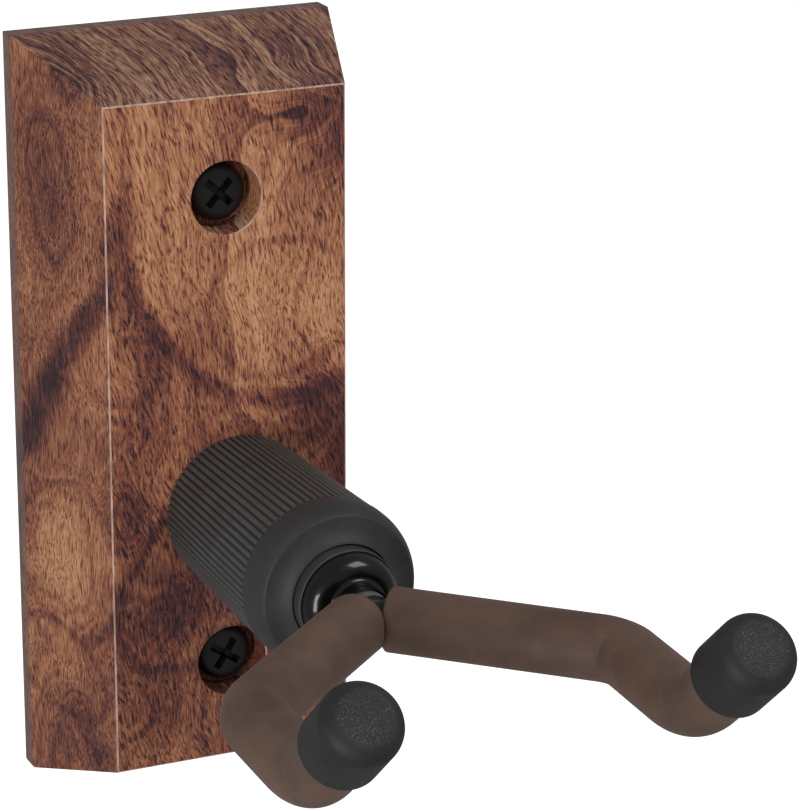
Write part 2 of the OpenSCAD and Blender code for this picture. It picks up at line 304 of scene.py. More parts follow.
class Surface:
    """A material under construction: adds nodes to its tree and links them."""

    def __init__(self, name):
        self.material = bpy.data.materials.new(name)
        self.material.use_nodes = True
        self.tree = self.material.node_tree
        self.shader = self.tree.nodes["Principled BSDF"]
        self.place = self.node("ShaderNodeTexCoord").outputs["Object"]

    def node(self, kind, inputs=None, **settings):
        made = self.tree.nodes.new(kind)
        for key, value in settings.items():
            setattr(made, key, value)
        for key, value in (inputs or {}).items():
            self.feed(made.inputs[key], value)
        return made

    def feed(self, socket, value):
        if isinstance(value, bpy.types.NodeSocket):
            self.tree.links.new(value, socket)
        else:
            socket.default_value = value

    def set(self, **sockets):
        for key, value in sockets.items():
            self.feed(self.shader.inputs[key.replace("_", " ")], value)

    def mapped(self, scale=(1, 1, 1), turn=(0, 0, 0), vector=None):
        """The object's coordinates in millimetres, or a vector, turned and then scaled."""
        turned_place = self.node(
            "ShaderNodeMapping",
            {
                "Vector": self.place if vector is None else vector,
                "Rotation": [radians(a) for a in turn],
                "Scale": (1 / MM, 1 / MM, 1 / MM) if vector is None else (1, 1, 1),
            },
        ).outputs[0]
        return self.vector("MULTIPLY", turned_place, scale)

    def vector(self, operation, a, b=(0, 0, 0)):
        made = self.node("ShaderNodeVectorMath", {0: a, 1: b}, operation=operation)
        return made.outputs["Value" if operation in ("LENGTH", "DOT_PRODUCT") else "Vector"]

    def math(self, operation, a, b=0.0, c=0.0, clamp=False):
        made = self.node("ShaderNodeMath", {0: a, 1: b, 2: c}, operation=operation, use_clamp=clamp)
        return made.outputs[0]

    def plus(self, a, b):
        return self.math("ADD", a, b)

    def minus(self, a, b):
        return self.math("SUBTRACT", a, b)

    def times(self, a, b):
        return self.math("MULTIPLY", a, b)

    def noise(self, vector, scale=1.0, detail=2.0, roughness=0.5, colour=False):
        made = self.node(
            "ShaderNodeTexNoise",
            {"Vector": vector, "Scale": scale, "Detail": detail, "Roughness": roughness},
        )
        return made.outputs["Color" if colour else "Fac"]

    def layers(self, value, scale, detail):
        """Bands along a value, from -0.5 to 0.5."""
        made = self.node(
            "ShaderNodeTexNoise",
            {"W": value, "Scale": scale, "Detail": detail},
            noise_dimensions="1D",
        )
        return self.minus(self.fade(made.outputs["Fac"], 0.3, 0.7), 0.5)

    def away(self, vector, middle, half):
        """Distance from a point, with an ellipsoid of those half sizes at 1."""
        offset = self.vector("SUBTRACT", vector, middle)
        return self.vector("LENGTH", self.vector("DIVIDE", offset, half))

    def axes(self, vector):
        return self.node("ShaderNodeSeparateXYZ", {0: vector}).outputs

    def sum(self, first, *weighted):
        """first plus each value times its weight."""
        total = first
        for value, weight in weighted:
            total = self.plus(total, self.times(value, weight))
        return total

    def warped(self, vector, scale, amount, detail=1.0):
        """vector, pushed about by a coloured noise of that scale."""
        push = self.noise(vector, scale, detail, colour=True)
        push = self.vector("MULTIPLY", self.vector("SUBTRACT", push, (0.5, 0.5, 0.5)), amount)
        return self.vector("ADD", vector, push)

    def fade(self, value, low, high, to_low=0.0, to_high=1.0):
        made = self.node(
            "ShaderNodeMapRange",
            {"Value": value, "From Min": low, "From Max": high, "To Min": to_low, "To Max": to_high},
            interpolation_type="SMOOTHSTEP",
        )
        return made.outputs["Result"]

    def ramp(self, value, stops):
        made = self.node("ShaderNodeValToRGB", {"Fac": value})
        elements = made.color_ramp.elements
        while len(elements) < len(stops):
            elements.new(0.5)
        for element, (place, colour) in zip(elements, stops):
            element.position = place
            element.color = (*colour, 1)
        return made.outputs["Color"]

    def mix(self, share, a, b, blend="MIX"):
        made = self.node("ShaderNodeMix", data_type="RGBA", blend_type=blend)
        self.feed(made.inputs["Factor"], share)
        self.feed(made.inputs["A"], a)
        self.feed(made.inputs["B"], b)
        return made.outputs["Result"]

    def bump(self, height, depth, strength):
        """Normal of a surface whose height runs over depth millimetres."""
        inputs = {"Height": height, "Distance": depth * MM, "Strength": strength}
        return self.node("ShaderNodeBump", inputs).outputs["Normal"]


# Growth lines run across the first of these directions of the plate and along the second
ACROSS_RINGS = (0.923, 0.385, 0)
ALONG_RINGS = (0.385, -0.923, 0)
# How fast the growth lines bend away from straight
RING_CURVE = 0.010
# Lean of the vessels on the plate's face, in degrees
GRAIN_LEAN = 11
# Figure of the wood: middle, half sizes, and how much lighter (or darker) the wood is there
FIGURE = [
    ((-12, -28, 52), (12, 9, 12), 0.11),
    ((-7, -28, 32), (14, 9, 12), 0.14),
    ((11, -28, 20), (14, 9, 12), 0.19),
    ((11, -28, 38), (10, 9, 10), 0.09),
    ((2, -28, 5), (9, 9, 5), 0.06),
    ((-21, -28, 35), (2.5, 7, 9), -0.26),
    ((-18, -28, 25), (2.5, 7, 8), -0.26),
    ((-14, -28, 15), (3, 7, 8), -0.23),
    ((16, -28, 54), (11, 9, 4), -0.32),
    ((20, -28, 47), (5, 7, 4), -0.14),
    ((17, -28, 1), (8, 9, 6), -0.32),
    ((20, -28, -9), (5, 9, 6), -0.17),
    ((-17, -28, 2), (6, 8, 8), -0.14),
    ((-18, -28, -13), (4, 8, 7), -0.29),
    ((-9, -28, -30), (8, 8, 7), -0.20),
    ((-14, -28, -50), (5, 8, 7), -0.12),
    ((0, -26, -34), (34, 9, 34), -0.14),
    ((-26, -13, 44), (4.5, 10, 17), -0.20),
    ((-23.4, -21, 12), (5, 8, 10), 0.11),
    ((-25, -17, -21), (7, 15, 12), 0.26),
    ((-26, -12, -42), (5, 10, 9), 0.09),
    ((-28, -6, -18), (3, 3, 5), -0.17),
    ((-24.5, -19, -51), (3, 5, 5), -0.23),
    ((-23, -24, -58), (4, 6, 5), -0.26),
    ((-22, -17, 63), (4, 12, 5), -0.17),
    ((7, -16, 62), (3, 11, 5), -0.14),
    ((16, -14, 62), (3, 9, 5), -0.17),
]
# Dark growth lines round an eye of the figure: middle, half sizes, share of them as width, change
CURLS = [
    ((10, -28, 40), (29, 20, 36), 0.08, -0.23),
    ((10, -28, 21), (14, 12, 13), 0.11, -0.15),
    ((-8, -28, -29), (12, 12, 13), 0.15, -0.20),
    ((-26, -17, -22), (9, 16, 14), 0.13, -0.13),
    ((-26, -14, -44), (9, 14, 9), 0.16, -0.14),
]
# The dark growth lines fade out between these heights
CURL_FADE = (56.0, 40.0)
# A dark streak runs down the left bevel from this height at the face's edge, and falls this much per
# millimetre towards the wall
STREAK_HEIGHT = 27
STREAK_FALL = 1.25
STREAK_WIDTH = 7.0
STREAK_CHANGE = -0.40
STREAK_EDGE = (-19.0, -22.0)


def wood_figure(s, swept, bent):
    """How much lighter the figure makes the wood, and how much darker its lines make it."""
    figure = s.noise(s.vector("MULTIPLY", swept, (0.055, 0.055, 0.034)), 1.0, 2.0, 0.5)
    figure = s.times(s.minus(figure, 0.5), 0.40)
    for middle, half, change in FIGURE:
        figure = s.plus(figure, s.fade(s.away(bent, middle, half), 1.5, 0.1, 0.0, change))

    curls = 0.0
    for middle, half, width, change in CURLS:
        off = s.math("ABSOLUTE", s.minus(s.away(bent, middle, half), 1.0))
        curls = s.plus(curls, s.fade(off, width, 0.0, 0.0, change))
    spot = s.axes(bent)
    curls = s.times(curls, s.fade(spot["Z"], *CURL_FADE))

    fall = s.math("MULTIPLY_ADD", spot["Y"], STREAK_FALL, STREAK_FALL * PLATE_D - STREAK_HEIGHT)
    off = s.math("ABSOLUTE", s.plus(spot["Z"], fall))
    streak = s.fade(off, STREAK_WIDTH, 0.5, 0.0, STREAK_CHANGE)
    streak = s.times(streak, s.fade(spot["X"], *STREAK_EDGE))
    return figure, s.plus(curls, streak)


def wood_grain(s, place, bent, across, along, end_face):
    """Long vessels on the plate's face and sides, and their rows on its sawn ends."""
    vessels = s.noise(s.mapped((3.3, 3.3, 0.42), (0, GRAIN_LEAN, 0), bent), 1.0, 2.0, 0.55)
    rows = s.node(
        "ShaderNodeCombineXYZ",
        {
            "X": s.times(across, 3.0),
            "Y": s.times(along, 0.42),
            "Z": s.times(s.axes(place)["Z"], 0.42),
        },
    ).outputs[0]
    cut_ends = s.noise(rows, 1.0, 2.0, 0.55)
    long_face = s.minus(1.0, end_face)
    return s.plus(s.times(vessels, long_face), s.times(cut_ends, end_face))


def figured_wood(name, grey=0.0):
    """Oiled hardwood whose growth layers wrap round its light and dark figure."""
    s = Surface(name)
    place = s.mapped()
    swept = s.warped(place, 0.03, (8, 8, 12), 1.5)
    bent = s.warped(swept, 0.14, (1.5, 1.5, 2.6), 1.5)
    normal = s.axes(s.node("ShaderNodeNewGeometry").outputs["Normal"])
    end_face = s.fade(s.math("ABSOLUTE", normal["Z"]), 0.5, 0.8)
    figure, lines = wood_figure(s, swept, bent)

    along = s.vector("DOT_PRODUCT", swept, ALONG_RINGS)
    curve = s.times(s.times(along, along), RING_CURVE)
    across = s.plus(s.vector("DOT_PRODUCT", swept, ACROSS_RINGS), curve)
    wrap = s.times(figure, s.math("MULTIPLY_ADD", end_face, -18.0, 32.0))
    layer = s.plus(across, wrap)

    grain = wood_grain(s, place, bent, across, along, end_face)
    pore = s.fade(grain, 0.48, 0.34)
    fibre = s.fade(grain, 0.52, 0.68)
    fleck = s.noise(s.mapped((6, 6, 1.2), (0, GRAIN_LEAN, 0), bent), 1.0, 2.0, 0.6)

    tone = s.sum(
        s.plus(s.plus(figure, lines), s.math("MULTIPLY_ADD", end_face, -0.03, 0.635)),
        (s.layers(layer, 0.20, 1.5), s.math("MULTIPLY_ADD", end_face, 0.04, 0.20)),
        (s.layers(layer, 0.85, 2.5), s.math("MULTIPLY_ADD", end_face, 0.20, 0.14)),
        (s.layers(layer, 2.3, 2.0), s.math("MULTIPLY_ADD", end_face, 0.16, 0.05)),
        (fibre, 0.17),
        (s.minus(fleck, 0.5), 0.38),
    )
    tone = s.math("SUBTRACT", tone, s.times(pore, 0.40), clamp=True)
    colour = s.ramp(
        tone,
        [
            (0.0, (0.022, 0.0105, 0.016)),
            (0.20, (0.056, 0.020, 0.024)),
            (0.40, (0.143, 0.043, 0.031)),
            (0.60, (0.278, 0.099, 0.054)),
            (0.80, (0.440, 0.195, 0.093)),
            (1.0, (0.600, 0.315, 0.165)),
        ],
    )
    cool = s.mix(1.0, colour, (0.86, 1.02, 1.24, 1), "MULTIPLY")
    colour = s.mix(end_face, colour, cool)
    if grey:
        colour = s.mix(grey, colour, (0.15, 0.12, 0.11, 1))
    relief = s.minus(s.times(fibre, 0.4), pore)
    s.set(
        Base_Color=colour,
        Roughness=s.fade(grain, 0.35, 0.65, 0.62, 0.48),
        Specular_IOR_Level=0.3,
        Normal=s.bump(relief, 0.06, 0.6),
    )
    return s.material


def sanded_arris_and_rim_highlight():
    """Pale line where the wood's finish is sanded through along the face's edge; on the right part
    of each counterbore's rim the same pale colour is a painted highlight.
    """
    s = Surface("sanded_arris_and_rim_highlight")
    wear = s.noise(s.mapped((1.2, 1.2, 0.35)), 1.0, 3.0, 0.6)
    s.set(
        Base_Color=s.ramp(
            wear, [(0.3, (0.28, 0.15, 0.10)), (0.55, (0.54, 0.36, 0.29)), (0.8, (0.66, 0.50, 0.44))]
        ),
        Roughness=0.5,
        Normal=s.bump(wear, 0.05, 0.5),
    )
    return s.material


def flute_painted_shade(s):
    """How far a point of the sleeve lies down in a flute: the mask of the painted shade that darkens
    the flutes.
    """
    from_axis = s.vector("SUBTRACT", s.mapped(), (HUB_X, 0, HUB_Z))
    out = s.times(s.axes(from_axis)["Y"], -1.0)
    radius = s.vector("LENGTH", s.vector("MULTIPLY", from_axis, (1, 0, 1)))
    taper = (SLEEVE_FRONT_R - SLEEVE_BASE_R) / (COLLAR_Z - PLATE_D)
    crest = s.math("MULTIPLY_ADD", out, taper, SLEEVE_BASE_R - PLATE_D * taper)
    return s.fade(s.minus(crest, radius), 0.05, 0.26)


def moulded_plastic(name, colour, roughness, grain=0.02, lift=1.25, specular=0.5, fluted=False):
    """Moulded plastic with a fine spark-eroded grain and faint handling marks; when fluted, painted
    shade darkens its flutes.
    """
    s = Surface(name)
    grit = s.noise(s.mapped((9, 9, 9)), 1.0, 2.0, 0.6)
    cloud = s.noise(s.mapped((0.18, 0.18, 0.18)), 1.0, 3.0, 0.55)
    rubbed = s.fade(cloud, 0.35, 0.7)
    lifted = [min(1.0, c * lift) for c in colour]
    shade = s.mix(rubbed, (*colour, 1), (*lifted, 1))
    if fluted:
        # Painted shade: the flutes' floors are darkened to stand for the shade in them
        shade = s.mix(flute_painted_shade(s), shade, (*[c * 0.38 for c in colour], 1))
    s.set(
        Base_Color=shade,
        Roughness=s.fade(cloud, 0.3, 0.7, roughness - 0.05, roughness + 0.06),
        Specular_IOR_Level=specular,
        Normal=s.bump(grit, grain, 0.6),
    )
    return s.material


def rubber(name, colour, roughness, sheen):
    """Extruded rubber: soft, with faint lengthwise clouding and a powdery edge."""
    s = Surface(name)
    cloud = s.noise(s.warped(s.mapped((0.09, 0.09, 0.09)), 1.4, (0.5, 0.5, 0.5)), 1.0, 4.0, 0.6)
    speck = s.noise(s.mapped((6, 6, 6)), 1.0, 3.0, 0.65)
    dark = [c * 0.80 for c in colour]
    light = [c * 1.22 for c in colour]
    shade = s.mix(s.fade(cloud, 0.3, 0.7), (*dark, 1), (*light, 1))
    shade = s.mix(s.fade(speck, 0.58, 0.75, 0.0, 0.25), shade, (*[c * 1.5 for c in colour], 1))
    s.set(
        Base_Color=shade,
        Roughness=s.fade(speck, 0.3, 0.7, roughness - 0.05, roughness + 0.07),
        Specular_IOR_Level=0.35,
        Sheen_Weight=sheen,
        Sheen_Roughness=0.45,
        Sheen_Tint=(0.9, 0.78, 0.72, 1),
        Normal=s.bump(s.plus(s.times(speck, 0.4), cloud), 0.05, 0.35),
    )
    return s.material


def metal(name, colour, roughness, brush=(0.4, 6, 6)):
    """Bare metal with brush or drawing lines, and dulled patches."""
    s = Surface(name)
    lines = s.noise(s.mapped(brush), 1.0, 3.0, 0.6)
    cloud = s.noise(s.mapped((0.35, 0.35, 0.35)), 1.0, 3.0, 0.6)
    dull = [c * 0.62 for c in colour]
    s.set(
        Base_Color=s.mix(s.fade(cloud, 0.4, 0.75), (*colour, 1), (*dull, 1)),
        Metallic=1.0,
        Roughness=s.fade(cloud, 0.3, 0.7, roughness, roughness + 0.12),
        Normal=s.bump(lines, 0.012, 0.5),
    )
    return s.material


def cap_rubber(tips):
    """Black moulded rubber, with a patch of raised grain on each cap's end whose ridges carry
    painted glints.
    """
    s = Surface("cap_rubber")
    fine = s.noise(s.mapped((7, 7, 7)), 1.0, 3.0, 0.65)
    cloud = s.noise(s.mapped((0.2, 0.2, 0.2)), 1.0, 3.0, 0.55)
    place = s.mapped()
    away = [s.vector("LENGTH", s.vector("SUBTRACT", place, tuple(tip))) for tip in tips]
    patch = s.fade(s.math("MINIMUM", *away), 4.9, 3.7)
    wear = s.fade(s.noise(s.mapped((0.5, 0.5, 0.5)), 1.0, 2.0), 0.25, 0.6, 0.45, 1.0)
    patch = s.times(patch, wear)
    cells = s.node(
        "ShaderNodeTexVoronoi",
        {"Vector": s.warped(place, 1.6, (0.6, 0.6, 0.6), 2.0), "Scale": 4.2, "Randomness": 1.0},
        feature="DISTANCE_TO_EDGE",
    ).outputs["Distance"]
    ridge = s.times(s.fade(cells, 0.16, 0.0), patch)
    # Painted highlight: glint lightens the base colour on the grain's ridges
    glint = s.times(ridge, s.fade(fine, 0.50, 0.64))
    shade = s.mix(s.fade(cloud, 0.3, 0.7), (0.017, 0.016, 0.016, 1), (0.024, 0.023, 0.023, 1))
    height = s.plus(s.times(ridge, 0.8), s.times(fine, 0.3))
    s.set(
        Base_Color=s.mix(glint, shade, (0.22, 0.21, 0.20, 1)),
        Roughness=s.fade(glint, 0.0, 1.0, 0.60, 0.40),
        Specular_IOR_Level=0.35,
        Normal=s.bump(height, 0.06, 0.6),
    )
    return s.material


def enamel(name, colour, roughness, coat, coat_roughness=0.16, specular=0.5):
    """Thick glossy enamel over metal, with the faint orange peel of a sprayed coat."""
    s = Surface(name)
    peel = s.noise(s.mapped((0.9, 0.9, 0.9)), 1.0, 2.0, 0.5)
    dust = s.noise(s.mapped((4, 4, 4)), 1.0, 3.0, 0.7)
    s.set(
        Base_Color=s.mix(s.fade(dust, 0.6, 0.8), (*colour, 1), (*[c * 2.2 for c in colour], 1)),
        Roughness=s.fade(dust, 0.4, 0.8, roughness, roughness + 0.08),
        Coat_Weight=coat,
        Coat_Roughness=coat_roughness,
        Specular_IOR_Level=specular,
        Normal=s.bump(peel, 0.02, 0.3),
    )
    return s.material


WOOD = figured_wood("figured_wood")
WOOD_SIDE = figured_wood("sawn_wood_edge", 0.55)
ARRIS_AND_RIM_HIGHLIGHT_WOOD = sanded_arris_and_rim_highlight()
FLUTED_PLASTIC = moulded_plastic(
    "fluted_plastic", (0.061, 0.064, 0.063), 0.50, specular=0.4, fluted=True
)
COLLAR_PLASTIC = moulded_plastic("collar_plastic", (0.033, 0.032, 0.034), 0.52, specular=0.28)
RING_PLASTIC = moulded_plastic("ring_plastic", (0.050, 0.050, 0.051), 0.45, specular=0.3)
DOME_ENAMEL = enamel("dome_enamel", (0.003, 0.003, 0.003), 0.30, 0.5, 0.10, 0.15)
ROD_ENAMEL = enamel("rod_enamel", (0.008, 0.008, 0.008), 0.38, 0.15, specular=0.3)
SCREW_BLACK = enamel("screw_black", (0.006, 0.006, 0.006), 0.40, 0.0, specular=0.35)
BROWN_RUBBER = rubber("brown_rubber", (0.114, 0.067, 0.048), 0.64, 0.06)
NYLON = moulded_plastic("nylon", (0.78, 0.76, 0.70), 0.45, 0.015, 1.05)
BLUE_NYLON = moulded_plastic("blue_nylon", (0.03, 0.08, 0.32), 0.42, 0.015)
ZINC = metal("zinc", (0.62, 0.62, 0.60), 0.28)
DRAWN_STEEL = metal("drawn_steel", (0.52, 0.52, 0.51), 0.34, (6, 0.4, 6))
SPRING_STEEL = metal("spring_steel", (0.22, 0.23, 0.27), 0.30)
BRASS = metal("brass", (0.72, 0.52, 0.22), 0.30)


# --- Plate ---


def plate_block():
    """The bevelled block, with soft edges and a sanded arris round its face."""
    levels = [
        (PLATE_HALF_W, PLATE_HALF_H, 0),
        (PLATE_HALF_W, PLATE_HALF_H, PLATE_EDGE),
        (PLATE_HALF_W - BEVEL_SIDE, PLATE_HALF_H - BEVEL_END, PLATE_D),
    ]
    corners = [(-1, -1), (1, -1), (1, 1), (-1, 1)]
    work = bmesh.new()
    rings = [
        [work.verts.new(Vector(plate_point(w * cx, h * cy, z)) * MM) for cx, cy in corners]
        for w, h, z in levels
    ]
    work.faces.new(rings[0])
    work.faces.new(rings[-1][::-1])
    for near, far in zip(rings, rings[1:]):
        for k in range(4):
            work.faces.new((near[k], near[(k + 1) % 4], far[(k + 1) % 4], far[k]))
    bmesh.ops.recalc_face_normals(work, faces=work.faces)
    face_edges = [e for e in work.edges if all(v in rings[-1] for v in e.verts)]
    other_edges = [e for e in work.edges if e not in face_edges]
    for edges, offset in ((face_edges, ARRIS), (other_edges, SOFT_EDGE)):
        edges = [e for e in edges if e.is_valid]
        bmesh.ops.bevel(
            work, geom=edges, offset=offset * MM, segments=2, profile=0.5, affect="EDGES"
        )
    return fill(bpy.data.meshes.new("plate_block"), work)


def cutter(profile, x, y):
    """A turned solid to cut the plate with, standing on the plate at (x, y)."""
    points, faces = turned(profile, 128, place=lambda px, py, pz: plate_point(x + px, y + py, pz))
    mesh = raw_mesh("cutter", points, faces)
    work = bmesh.new()
    work.from_mesh(mesh)
    bmesh.ops.recalc_face_normals(work, faces=work.faces)
    return add("cutter", fill(mesh, work))


def build_plate():
    """The block with its counterbores, screw holes, hub bore and rear recess cut in it."""
    block = add("plate_block", plate_block())
    ease = ARRIS
    screw_cut = [
        (0.01, PLATE_D + 1),
        (COUNTERBORE_R + ease, PLATE_D + 1),
        (COUNTERBORE_R + ease, PLATE_D),
        (COUNTERBORE_R + 0.3 * ease, PLATE_D - 0.3 * ease),
        (COUNTERBORE_R, PLATE_D - ease),
        (COUNTERBORE_R, SCREW_SEAT_Z),
        (SCREW_HOLE_R, SCREW_SEAT_Z),
        (SCREW_HOLE_R, 0.3),
        (SCREW_HOLE_R + 0.3, 0),
        (SCREW_HOLE_R + 0.3, -1),
        (0.01, -1),
    ]
    hub_cut = [
        (0.01, -1),
        (REAR_RECESS_R + 0.3, -1),
        (REAR_RECESS_R + 0.3, 0),
        (REAR_RECESS_R, 0.3),
        (REAR_RECESS_R, REAR_RECESS_Z),
        (LINER_R, REAR_RECESS_Z),
        (LINER_R, SPIGOT_Z),
        (SPIGOT_R + 0.05, SPIGOT_Z),
        (SPIGOT_R + 0.05, PLATE_D + 1),
        (0.01, PLATE_D + 1),
    ]
    cutters = [cutter(screw_cut, 0, side * SCREW_PITCH / 2) for side in (-1, 1)]
    cutters.append(cutter(hub_cut, HUB_X, HUB_Z))
    for made in cutters:
        cut = block.modifiers.new("cut", "BOOLEAN")
        cut.object = made
        cut.operation = "DIFFERENCE"
        cut.solver = "EXACT"
    depsgraph = bpy.context.evaluated_depsgraph_get()
    mesh = bpy.data.meshes.new_from_object(block.evaluated_get(depsgraph))
    for made in [*cutters, block]:
        bpy.data.objects.remove(made)
    mesh.materials.clear()
    dress_plate(mesh)
    finish_piece(
        "hardwood_plate", mesh, [WOOD, ARRIS_AND_RIM_HIGHLIGHT_WOOD, WOOD_SIDE], "plate", "base_plate", 20
    )


def dress_plate(mesh):
    """Says which of the plate's faces are wood (0), sanded arris and painted rim highlight (1) or
    sawn edge (2).
    """
    front = -PLATE_D
    side_lean = sin(atan2(BEVEL_SIDE, PLATE_D - PLATE_EDGE))
    end_lean = sin(atan2(BEVEL_END, PLATE_D - PLATE_EDGE))
    for face in mesh.polygons:
        x, y, z = (c / MM for c in face.center)
        lean = abs(face.normal.y)
        rim_z = z - SCREW_PITCH / 2 if z > 0 else z + SCREW_PITCH / 2
        on_rim = abs(hypot(x, rim_z) - COUNTERBORE_R) < ARRIS + 0.05
        # Only the right part of each counterbore's rim, where it catches the light, gets the pale
        # colour: a painted highlight
        painted_rim_highlight = on_rim and x > 0.45 * abs(rim_z + 1)
        at_front = front - 0.01 < y < front + 1.2 * ARRIS and lean < 0.995
        outside = abs(x) > PLATE_HALF_W - BEVEL_SIDE - 1 or abs(z) > PLATE_HALF_H - BEVEL_END - 1
        on_bevel = abs(lean - side_lean) <= 0.02 or abs(lean - end_lean) <= 0.02
        if at_front and ((outside and not on_bevel) or painted_rim_highlight):
            face.material_index = 1
        elif outside and y > -PLATE_EDGE - 0.01 and lean < 0.05:
            face.material_index = 2
        else:
            face.material_index = 0


# --- Wall screws ---


def on_screw(y_mid):
    """Places points given from a wall screw's own axis."""
    return lambda x, y, z: plate_point(x, y_mid + y, z)


def drive_depth(x, y):
    """How far the cross recess goes down at a point of a screw's face."""
    u, v = abs(x + y) / sqrt(2), abs(x - y) / sqrt(2)
    long, short = max(u, v), min(u, v)
    wing = min(1.0, max(0.0, (DRIVE_WING_HALF - short) / 0.10))
    end = min(1.0, max(0.0, (DRIVE_WING_END - long) / 0.35))
    core = min(1.0, max(0.0, (DRIVE_CORE_R - hypot(x, y)) / 0.5)) if wing > 0 else 0.0
    return max(DRIVE_WING_DEPTH * wing * end * (1 - 0.18 * long / 3), DRIVE_CORE_DEPTH * core)


def screw_head_mesh(y_mid, first):
    """Face of the head as a fine grid with the recess sunk in it, and the head's side below."""
    turn = UPPER_DRIVE_TURN if y_mid > 0 else LOWER_DRIVE_TURN
    steps, rings = 120, 46
    place = on_screw(y_mid)
    shoulder, crown = 1.5, 0.10
    top_r = SCREW_HEAD_R - shoulder
    points = [place(0, 0, SCREW_FACE_Z - drive_depth(0, 0))]
    for i in range(1, rings + 1):
        r = top_r * i / rings
        for a in angles(steps):
            x, y = r * cos(a), r * sin(a)
            depth = crown * (r / top_r) ** 2 + drive_depth(r * cos(a - turn), r * sin(a - turn))
            points.append(place(x, y, SCREW_FACE_Z - depth))
    turns = [radians(a) for a in range(10, 91, 10)]
    side = [
        *[(top_r + shoulder * sin(a), SCREW_FACE_Z - crown - 1.3 * (1 - cos(a))) for a in turns],
        (SCREW_HEAD_R, SCREW_SEAT_Z + 0.6),
        (SCREW_HEAD_R - 0.4, SCREW_SEAT_Z),
        (SCREW_NECK_R, SCREW_SEAT_Z),
    ]
    for r, z in side:
        points += [place(r * cos(a), r * sin(a), z) for a in angles(steps)]
    faces = [(first, first + 1 + j, first + 1 + (j + 1) % steps) for j in range(steps)]
    faces += grid_faces(rings + len(side), steps, first + 1)
    return points, faces, steps


def thread_reach(angle, z, pitch, root, crest):
    """Radius of a right-handed thread at an angle and height."""
    turn = (z / pitch + angle / (2 * pi)) % 1.0
    ridge = max(0.0, 1 - abs(turn - 0.5) / 0.32)
    return root + (crest - root) * min(1.0, ridge * 1.15)


def screw_shank_mesh(y_mid, first, steps):
    """Plain neck, thread and point, as rings from the head down."""
    thread_top = -0.5
    place = on_screw(y_mid)
    points = []
    count = int((SCREW_SEAT_Z - SCREW_POINT_Z) / 0.16)
    for i in range(count + 1):
        z = SCREW_SEAT_Z - (SCREW_SEAT_Z - SCREW_POINT_Z) * i / count
        taper = min(1.0, (z - SCREW_POINT_Z) / SCREW_POINT_LEN)
        run_out = min(1.0, max(0.0, (thread_top - z) / 2.0))
        plain = SCREW_NECK_R if z > 0 else SCREW_R
        for a in angles(steps):
            cut = thread_reach(a, z, SCREW_THREAD_PITCH, SCREW_THREAD_ROOT_R, SCREW_R)
            r = plain + (cut - plain) * run_out
            r = max(0.05, r * taper)
            points.append(place(r * cos(a), r * sin(a), z))
    faces = grid_faces(count + 1, steps, first)
    last = first + count * steps
    faces.append(tuple(range(last, last + steps)))
    return points, faces


def build_wall_screws():
    points, faces = [], []
    for side in (-1, 1):
        y_mid = side * SCREW_PITCH / 2
        head_points, head_faces, steps = screw_head_mesh(y_mid, len(points))
        points += head_points
        shank_points, shank_faces = screw_shank_mesh(y_mid, len(points), steps)
        faces += head_faces + shank_faces + band(len(points) - steps, len(points), steps)
        points += shank_points
    put("black_wall_screws", points, faces, SCREW_BLACK, "plate", "wall_screws", 40, "black_screw")


# --- Hub ---


def build_sleeve():
    """Tapered sleeve with rounded flutes that run up to the collar, on a plain spigot."""
    per_flute = 8
    steps = FLUTES * per_flute

    def fluted(angle, r, z):
        if z < PLATE_D or z > COLLAR_Z or r < SPIGOT_R + 1:
            return r
        share = (angle * FLUTES / (2 * pi)) % 1.0
        groove = 0.5 - 0.5 * cos(2 * pi * share)
        return r - FLUTE_DEPTH * groove ** 2

    foot, head = (SLEEVE_BASE_R, PLATE_D), (SLEEVE_FRONT_R, COLLAR_Z)
    profile = [
        (LINER_R, SPIGOT_Z),
        (SPIGOT_R, SPIGOT_Z),
        (SPIGOT_R, PLATE_D),
        *line(foot, head, 10),
        head,
        (SLEEVE_FRONT_R - 0.7, COLLAR_Z + 0.01),
        (COLLAR_SEAT_R, COLLAR_Z + 0.02),
        (COLLAR_SEAT_R, -sleeve_low.y),
        (LINER_R, -sleeve_low.y),
    ]
    looks = (FLUTED_PLASTIC, "plate", "hub_sleeve", 60, "hub_plastic")
    put_turned("fluted_sleeve", profile, steps, *looks, swell=fluted)


def build_collar():
    """Smooth collar: round rear edge, straight band, curved nose, crisp rim and dished front."""
    nose_run = (COLLAR_R - RIM_R) / (1 - cos(NOSE_TURN))
    nose_rise = (RIM_Z - 0.05 - NOSE_Z) / sin(NOSE_TURN)
    nose = arc(COLLAR_R - nose_run, NOSE_Z, nose_run, nose_rise, 0, degrees(NOSE_TURN), 16)
    lip = RIM_R - 0.1
    shares = [k / 20 for k in range(20)]
    flare = [(lip - (lip - COLLAR_HOLE_R) * s, RIM_Z + (FLARE_Z - RIM_Z) * s**3) for s in shares]
    round_r = 0.6
    profile = [
        (COLLAR_SEAT_R + 0.05, COLLAR_Z),
        *line((COLLAR_SEAT_R + 0.4, COLLAR_Z), (COLLAR_R - round_r, COLLAR_Z), 3),
        *arc(COLLAR_R - round_r, COLLAR_Z + round_r, round_r, round_r, -90, 0, 8),
        *nose,
        *flare,
        (COLLAR_HOLE_R + 0.1, FLARE_Z),
        (COLLAR_HOLE_R, FLARE_Z - 0.1),
        (COLLAR_HOLE_R, LINER_FRONT_Z),
        (LINER_R, LINER_FRONT_Z),
        (LINER_R, COLLAR_SEAT_Z),
        (COLLAR_SEAT_R + 0.05, COLLAR_SEAT_Z),
    ]
    looks = (COLLAR_PLASTIC, "plate", "hub_collar", 32, "collar_plastic")
    put_turned("smooth_collar", profile, 192, *looks)


# --- Boss and spindle ---


